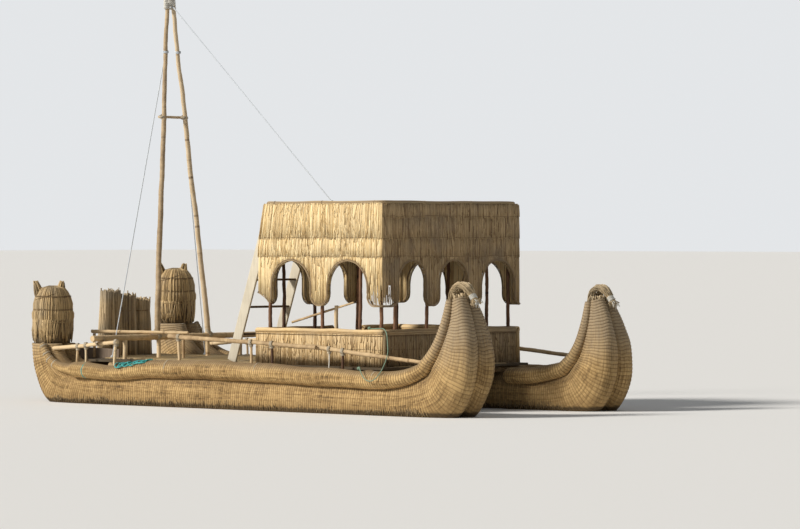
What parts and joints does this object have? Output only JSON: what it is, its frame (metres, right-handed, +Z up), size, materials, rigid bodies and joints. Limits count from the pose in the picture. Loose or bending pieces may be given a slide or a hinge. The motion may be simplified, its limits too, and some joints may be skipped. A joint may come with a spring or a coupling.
{
  "type": "double-hulled reed boat",
  "caption": "Double-hulled reed boat with curled prows, reed heads on the sterns, an arched mat pavilion, a two-legged mast, rails and a ladder.",
  "frame": {"origin": "on the waterline, midway between the two hulls and near the middle of their length", "axes": "+X to the bow, +Y to port, +Z up"},
  "size_m": [11.2757, 4.825, 7.8572],
  "materials": {
    "hull_reed": "dry reeds bound close, matt",
    "roll_reed": "dry reeds bound close, matt",
    "head_reed": "upright dry reeds, matt",
    "mat_reed": "sewn reed mat, matt",
    "hoop_reed": "bent reed hoop, matt",
    "parapet_reed": "sewn reed mat, matt",
    "deck_reed": "trodden reed mat, matt",
    "grey_plank": "weathered sawn plank",
    "pale_pole": "barked pole, weathered",
    "dark_post": "dark barked pole",
    "pale_line": "laid rope",
    "green_line": "laid rope, worn"
  },
  "bodies": {
    "root": {"arch_rim_aft": "hoop_reed", "arch_rim_fore": "hoop_reed", "arch_rim_port": "hoop_reed", "arch_rim_stbd": "hoop_reed", "bow_roll_port": "roll_reed", "bow_roll_stbd": "roll_reed", "crossbeams": "pale_pole", "deck": "deck_reed", "forestay": "pale_line", "gunwale_roll_port": "roll_reed", "gunwale_roll_stbd": "roll_reed", "hull_inner_bundle_port": "hull_reed", "hull_inner_bundle_stbd": "hull_reed", "hull_outer_bundle_port": "hull_reed", "hull_outer_bundle_stbd": "hull_reed", "inner_pole": "pale_pole", "inner_pole_posts": "pale_pole", "ladder_planks": "grey_plank", "ladder_treads": "grey_plank", "mast_beam": "pale_pole", "mast_beam_props": "pale_pole", "mast_leg_port": "pale_pole", "mast_leg_stbd": "pale_pole", "mast_spreader": "pale_pole", "masthead_lashing": "pale_line", "parapet_aft": "parapet_reed", "parapet_fore": "parapet_reed", "parapet_port": "parapet_reed", "parapet_stbd": "parapet_reed", "prow_curl_port": "roll_reed", "prow_curl_stbd": "roll_reed", "rail_port": "pale_pole", "rail_posts_port": "pale_pole", "rail_posts_stbd": "pale_pole", "rail_stbd": "pale_pole", "roof_beams": "pale_pole", "roof_floor": "deck_reed", "room_posts": "dark_post", "shrouds": "pale_line", "stern_head_port": "head_reed", "stern_head_stbd": "head_reed", "stern_screen": "head_reed", "tie_rope": "green_line", "top_roll": "mat_reed", "upper_wall_aft": "mat_reed", "upper_wall_fore": "mat_reed", "upper_wall_port": "mat_reed", "upper_wall_stbd": "mat_reed"}
  },
  "joints": []
}
